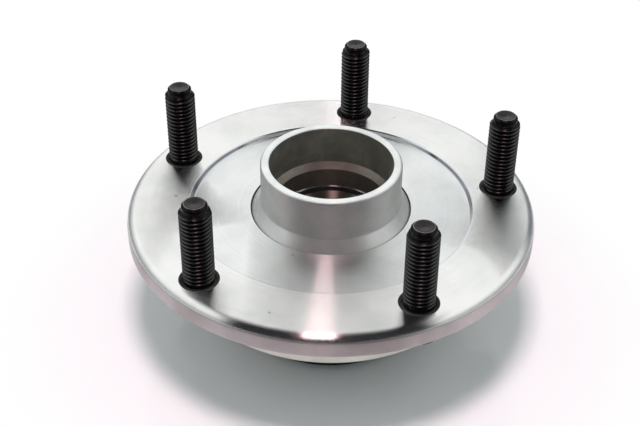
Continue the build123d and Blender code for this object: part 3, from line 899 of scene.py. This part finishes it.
# %% Dress the outer ring
def ring_finish(face):
    radius, height, slope = lathe_place(face)
    if radius < SEAT + 0.4 and (abs(slope) < LEVEL or radius < SEAT - 0.4):
        return GROUND_STEEL
    return BLACK_PHOSPHATE_AND_SHADE if height < KNUCKLE - 0.2 else KNUCKLE_FACE


paint_bands(ring, [KNUCKLE_FACE, BLACK_PHOSPHATE_AND_SHADE, GROUND_STEEL], ring_finish)
even_normals(ring)
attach(ring, "outer_ring")
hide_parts("outer_ring")
print("outer ring dressed in", len(ring.data.materials), "finishes")

# %% [markdown]
# ## Small rings
# The inner ring, the seals, the slinger and the magnetic encoder are rings too, but thin ones that
# the model already draws exactly. Each is copied, its loose triangles are merged, and its curved
# faces are shaded smooth, which is quicker than drawing the sections again and can't drift from the
# model.

# %% Copy a node and smooth it
def smoothed_copy(node, finish, body):
    bm = bmesh.new()
    bm.from_mesh(frame["nodes"][node].data)
    bmesh.ops.remove_doubles(bm, verts=bm.verts[:], dist=0.0005 * MM)
    bmesh.ops.recalc_face_normals(bm, faces=bm.faces[:])
    piece = finish_mesh(bm, node + "_dressed", sharp=28)
    piece.data.materials.append(finish)
    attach(piece, body)
    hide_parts(node)
    print(piece.name, len(piece.data.polygons), "faces")


# %% [markdown]
# ## Rubber, sheet steel and nylon
# Nitrile lips are moulded and a little dusty, so they are matt with a faint mottling. The encoder
# is rubber filled with ferrite and ground flat. The cages are glass-filled nylon, ivory with short
# fibres that lie just under the skin, about 0.3 mm long; they are drawn 1 mm long to be seen.

# %% Rubber
DUST_SIZE = 2.5


def moulded_rubber(name, dark, light, roughness):
    finish, tree, shader, place = new_finish(name)
    dust = add(tree, "ShaderNodeTexNoise", {"Vector": place, "Scale": 1 / (DUST_SIZE * MM),
                                            "Detail": 5.0})
    colours = add(tree, "ShaderNodeValToRGB", {"Fac": dust})
    ramp_stops(colours, [(0.35, dark), (0.75, light)])
    relief = add(tree, "ShaderNodeBump", {"Height": dust, "Strength": 0.2, "Distance": 0.03 * MM})
    feed(shader, {"Roughness": roughness, "IOR": 1.52, "Base Color": colours, "Normal": relief})
    return finish


NITRILE = moulded_rubber("moulded_nitrile", "0e0e0e", "1c1b1b", 0.55)
FERRITE_RUBBER = moulded_rubber("ground_ferrite_rubber", "1d1a19", "2b2624", 0.42)
print("rubber plain and filled")

# %% Cage nylon
FIBRE = 1.0


def cage_nylon():
    finish, tree, shader, place = new_finish("glass_filled_nylon")
    stretched = add(tree, "ShaderNodeMapping", {"Vector": place, "Scale": (1, 1, 0.35)})
    fibres = add(tree, "ShaderNodeTexVoronoi", {"Vector": stretched, "Scale": 1 / (FIBRE * MM)})
    colours = add(tree, "ShaderNodeValToRGB", {"Fac": fibres})
    ramp_stops(colours, [(0.1, "d9cda4"), (0.7, "c6b789")])
    relief = add(tree, "ShaderNodeBump", {"Height": fibres, "Strength": 0.15,
                                          "Distance": 0.02 * MM})
    feed(shader, {"Roughness": 0.42, "IOR": 1.53, "Subsurface Weight": 0.1, "Base Color": colours,
                  "Normal": relief})
    return finish


CAGE_NYLON = cage_nylon()
print(CAGE_NYLON.name, "made")

# %% [markdown]
# The seal cases and the slinger are pressed from sheet steel, which keeps the even grey of the
# rolling mill: almost no relief, and wide faint clouds. With that, every small ring has its finish.

# %% Dress the small rings
SHEET_STEEL = blasted_steel(
    "pressed_sheet_steel", [(0.35, "b0aead"), (0.65, "c6c4c2")], 0.3, 1.0, 0.8, 0.01)

for node, finish, body, slot in (
    ("inboard_inner_ring", GROUND_STEEL, "hub", "bearing_steel"),
    ("seal_slinger", SHEET_STEEL, "hub", "pressed_steel"),
    ("encoder_ring", FERRITE_RUBBER, "hub", "magnet_rubber"),
    ("outboard_seal_case", SHEET_STEEL, "outer_ring", "pressed_steel"),
    ("inboard_seal_case", SHEET_STEEL, "outer_ring", "pressed_steel"),
    ("outboard_seal_lips", NITRILE, "outer_ring", "seal_rubber"),
    ("inboard_seal_lips", NITRILE, "outer_ring", "seal_rubber"),
    ("spigot_o_ring", NITRILE, "outer_ring", "seal_rubber"),
    ("outboard_cage", CAGE_NYLON, "outboard_cage", "cage_nylon"),
    ("inboard_cage", CAGE_NYLON, "inboard_cage", "cage_nylon"),
):
    smoothed_copy(node, finish, body)

# %% [markdown]
# The balls are round enough as the model gives them, and are hidden inside, so they stay as model
# nodes and only take the ground finish.

# %% Polish the balls
balls = [node for name, node in frame["nodes"].items() if "_ball_" in name]
for ball in balls:
    ball.data.materials.clear()
    ball.data.materials.append(GROUND_STEEL)
print(len(balls), "balls polished")

# %% [markdown]
# ## Table
# The unit stands on its collar on a pale, slightly glossy table. Seen by the camera, the table
# turns pure white away from the part, so that only the soft shadow and the reflection near the part
# show that it is there. Seen in the part's own polish, it turns white too, and greyer far off, as a
# table does beyond the light. Distances are in metres. It is stage, not part of the object.

# %% Table finish
CLEAR_SEEN = (0.11, 0.185)
CLEAR_MIRRORED = (0.12, 0.24)
DIM_MIRRORED = (0.26, 0.4)


def ray_kinds(tree):
    """Whether a ray comes straight from the camera, and whether it is mirrored or refracted."""
    ray = add(tree, "ShaderNodeLightPath")
    mirrored = add(tree, "ShaderNodeMath", {0: ray.outputs["Is Glossy Ray"],
                                            1: ray.outputs["Is Transmission Ray"]},
                   operation="MAXIMUM")
    return ray.outputs["Is Camera Ray"], mirrored


def table_glow(tree, distance):
    """Colour of the far table, and the share of it that covers the table away from the part."""
    seen = add(tree, "ShaderNodeMapRange", {"Value": distance, "From Min": CLEAR_SEEN[0],
                                            "From Max": CLEAR_SEEN[1]},
               interpolation_type="SMOOTHSTEP")
    polished = add(tree, "ShaderNodeMapRange", {"Value": distance, "From Min": CLEAR_MIRRORED[0],
                                                "From Max": CLEAR_MIRRORED[1]})
    beyond = add(tree, "ShaderNodeMapRange", {"Value": distance, "From Min": DIM_MIRRORED[0],
                                              "From Max": DIM_MIRRORED[1]})
    straight, mirrored = ray_kinds(tree)
    far = add(tree, "ShaderNodeMath", {0: polished, 1: mirrored}, operation="MULTIPLY")
    share = add(tree, "ShaderNodeMath", {0: seen, 1: straight, 2: far}, operation="MULTIPLY_ADD")
    dim = add(tree, "ShaderNodeMath", {0: beyond, 1: mirrored}, operation="MULTIPLY")
    shade = add(tree, "ShaderNodeMix", {"Factor": dim, 6: WHITE, 7: srgb("5a5e64")},
                data_type="RGBA")
    return shade, share


def table_finish():
    finish, tree, shader, place = new_finish("white_gloss_table")
    out = add(tree, "ShaderNodeVectorMath", {0: place}, operation="LENGTH")
    haze = add(tree, "ShaderNodeTexNoise", {"Vector": place, "Scale": 8.0})
    colours = add(tree, "ShaderNodeValToRGB", {"Fac": haze})
    ramp_stops(colours, [(0.3, "eceeee"), (0.7, "f2f3f3")])
    shade, share = table_glow(tree, out.outputs["Value"])
    white = add(tree, "ShaderNodeEmission", {"Color": shade.outputs[2], "Strength": 1.0})
    mixed = add(tree, "ShaderNodeMixShader", {0: share, 1: shader, 2: white})
    feed(shader, {"Base Color": colours, "Roughness": 0.1})
    feed(tree.nodes["Material Output"], {"Surface": mixed})
    return finish


# %% Table
TABLE_WIDTH, TABLE_DEPTH, TABLE_MIDDLE = 0.84, 1.4, 0.5


def table_top():
    """A grid one metre across, scaled to the table and moved back and down to the collar."""
    bm = bmesh.new()
    bmesh.ops.create_grid(bm, x_segments=1, y_segments=1, size=0.5)
    bmesh.ops.scale(bm, verts=bm.verts[:], vec=(TABLE_WIDTH, TABLE_DEPTH, 1))
    bmesh.ops.translate(bm, verts=bm.verts[:], vec=(0, TABLE_MIDDLE, COLLAR_END * MM))
    return finish_mesh(bm, "studio_table")


table = table_top()
table.data.materials.append(table_finish())
print("table", tuple(round(side, 3) for side in table.dimensions), "m")

# %% [markdown]
# ## Light
# A polished part shows its surroundings more than its lamps. The world is drawn as a small studio
# that only reflections see, from the direction that each ray takes: X to the right, Y to the back,
# Z up. Its walls are white, but the ceiling over the part and in front of it is a dark gap, which
# gives the faces their grey. In the gap hangs one narrow warm strip light, which widens towards the
# front and draws the bright ray on the wheel face.

# %% Dark gap overhead
def dark_gap(tree, split, aside):
    """How far a direction lies in the gap: low enough in Y, and not too far to the sides."""
    slanted = add(tree, "ShaderNodeMath", {0: split.outputs["Y"], 1: 0.5, 2: aside},
                  operation="MULTIPLY_ADD")
    between = add(tree, "ShaderNodeMapRange", {"Value": slanted, "From Min": 0.6, "From Max": 0.38},
                  interpolation_type="SMOOTHSTEP")
    ceiling = add(tree, "ShaderNodeMapRange", {"Value": split.outputs["Y"], "From Min": 0.54,
                                               "From Max": 0.38}, interpolation_type="SMOOTHSTEP")
    return add(tree, "ShaderNodeMath", {0: ceiling, 1: between}, operation="MULTIPLY")


# %% Warm strip in the gap
def warm_strip(tree, split):
    """The strip's share of a direction: close to one bearing, and between its two ends."""
    reach = add(tree, "ShaderNodeMath", {0: 0.8, 1: split.outputs["Y"]}, operation="SUBTRACT")
    bearing = add(tree, "ShaderNodeMath", {0: split.outputs["X"], 1: reach}, operation="DIVIDE")
    shifted = add(tree, "ShaderNodeMath", {0: bearing, 1: 0.05}, operation="ADD")
    offset = add(tree, "ShaderNodeMath", {0: shifted}, operation="ABSOLUTE")
    width = add(tree, "ShaderNodeMapRange", {"Value": offset, "From Min": 0.084, "From Max": 0.075})
    back_end = add(tree, "ShaderNodeMapRange", {"Value": split.outputs["Y"], "From Min": 0.46,
                                                "From Max": 0.3})
    front_end = add(tree, "ShaderNodeMapRange", {"Value": split.outputs["Y"], "From Min": -0.64,
                                                 "From Max": -0.5})
    length = add(tree, "ShaderNodeMath", {0: back_end, 1: front_end}, operation="MULTIPLY")
    return add(tree, "ShaderNodeMath", {0: width, 1: length}, operation="MULTIPLY")


# %% [markdown]
# White walls all round would leave the sides of the spigot and the rim without an edge. So the
# walls are grey near the horizon at the left and the right, and in the corner at the back right.

# %% Grey parts of the walls
def grey_walls(tree, split, aside):
    height = add(tree, "ShaderNodeMath", {0: split.outputs["Z"]}, operation="ABSOLUTE")
    horizon = add(tree, "ShaderNodeMapRange", {"Value": height, "From Min": 0.42, "From Max": 0.2},
                  interpolation_type="SMOOTHSTEP")
    sides = add(tree, "ShaderNodeMapRange", {"Value": aside, "From Min": 0.3, "From Max": 0.5},
                interpolation_type="SMOOTHSTEP")
    low = add(tree, "ShaderNodeMath", {0: horizon, 1: sides}, operation="MULTIPLY")
    right = add(tree, "ShaderNodeMapRange", {"Value": split.outputs["X"], "From Min": 0.15,
                                             "From Max": 0.4}, interpolation_type="SMOOTHSTEP")
    behind = add(tree, "ShaderNodeMapRange", {"Value": split.outputs["Y"], "From Min": 0.55,
                                              "From Max": 0.7}, interpolation_type="SMOOTHSTEP")
    corner = add(tree, "ShaderNodeMath", {0: right, 1: behind}, operation="MULTIPLY")
    return add(tree, "ShaderNodeMath", {0: low, 1: corner}, operation="MAXIMUM")


# %% [markdown]
# Three kinds of ray then get three worlds: reflections see the studio, the camera sees plain white,
# and surfaces are lit by an even, slightly cool sky at half strength.

# %% Studio world
STRIP_LIGHT = (4.1, 2.85, 3.0, 1)


def studio_world():
    world = bpy.data.worlds.new("studio")
    world.use_nodes = True
    tree = world.node_tree
    direction = add(tree, "ShaderNodeTexCoord")
    split = add(tree, "ShaderNodeSeparateXYZ", {"Vector": direction.outputs["Generated"]})
    aside = add(tree, "ShaderNodeMath", {0: split.outputs["X"]}, operation="ABSOLUTE")
    gap = dark_gap(tree, split, aside)
    strip = warm_strip(tree, split)
    dark = add(tree, "ShaderNodeMix", {"Factor": strip, 6: srgb("29272a"), 7: STRIP_LIGHT},
               data_type="RGBA")
    grey = grey_walls(tree, split, aside)
    walls = add(tree, "ShaderNodeMix", {"Factor": grey, 6: WHITE, 7: srgb("777b81")},
                data_type="RGBA")
    around = add(tree, "ShaderNodeMix", {"Factor": gap, 6: walls.outputs[2], 7: dark.outputs[2]},
                 data_type="RGBA")
    reflected = add(tree, "ShaderNodeBackground", {"Color": around.outputs[2], "Strength": 1.0})
    plain = add(tree, "ShaderNodeBackground", {"Color": WHITE, "Strength": 1.0})
    soft = add(tree, "ShaderNodeBackground", {"Color": srgb("e6f0f4"), "Strength": 0.5})
    straight, mirrored = ray_kinds(tree)
    lit = add(tree, "ShaderNodeMixShader", {0: mirrored, 1: soft, 2: reflected})
    seen = add(tree, "ShaderNodeMixShader", {0: straight, 1: lit, 2: plain})
    feed(tree.nodes["World Output"], {"Surface": seen})
    return world


bpy.context.scene.world = studio_world()
print("studio of", len(bpy.context.scene.world.node_tree.nodes), "nodes")

# %% [markdown]
# The lamps are large soft boxes, so shadows stay soft. They light only what isn't polished: they
# are hidden from reflections, where the drawn studio takes their place.

# %% Soft boxes
def soft_box(name, place, size, watts, colour="ffffff"):
    lamp = bpy.data.lights.new(name, "AREA")
    lamp.shape = "RECTANGLE"
    lamp.size, lamp.size_y = size
    lamp.energy = watts
    lamp.color = srgb(colour)[:3]
    box = bpy.data.objects.new(name, lamp)
    box.location = place
    box.rotation_euler = Vector(place).to_track_quat("Z", "Y").to_euler()
    box.visible_glossy = False
    bpy.context.scene.collection.objects.link(box)
    print(name, watts, "W")


soft_box("overhead_strip", (-0.02, -0.2, 0.98), (0.22, 0.26), 8.4, "ffe9ef")
soft_box("left_box", (-0.8, -0.1, 0.5), (0.6, 0.7), 1.0)
soft_box("right_box", (0.8, -0.05, 0.55), (0.6, 0.7), 1.0)

# %% [markdown]
# ## Camera
# The camera stands 568 mm from the centre of the wheel face and looks down at 36 degrees with a
# 69 mm lens, which keeps the perspective strong enough that near studs look larger than far ones.

# %% Camera
view = bpy.data.cameras.new("studio_camera")
view.lens = 68.84
view.sensor_width = 36.0
view.sensor_fit = "HORIZONTAL"
view.clip_start = 0.01
camera = bpy.data.objects.new("studio_camera", view)
camera.location = (0.0, -0.46053, 0.33231)
camera.rotation_euler = [math.radians(angle) for angle in (53.656, -0.409, 0.920)]
bpy.context.scene.collection.objects.link(camera)
bpy.context.scene.camera = camera
bpy.context.scene.view_settings.view_transform = "Standard"
print(f"camera {camera.location.length / MM:.0f} mm away")
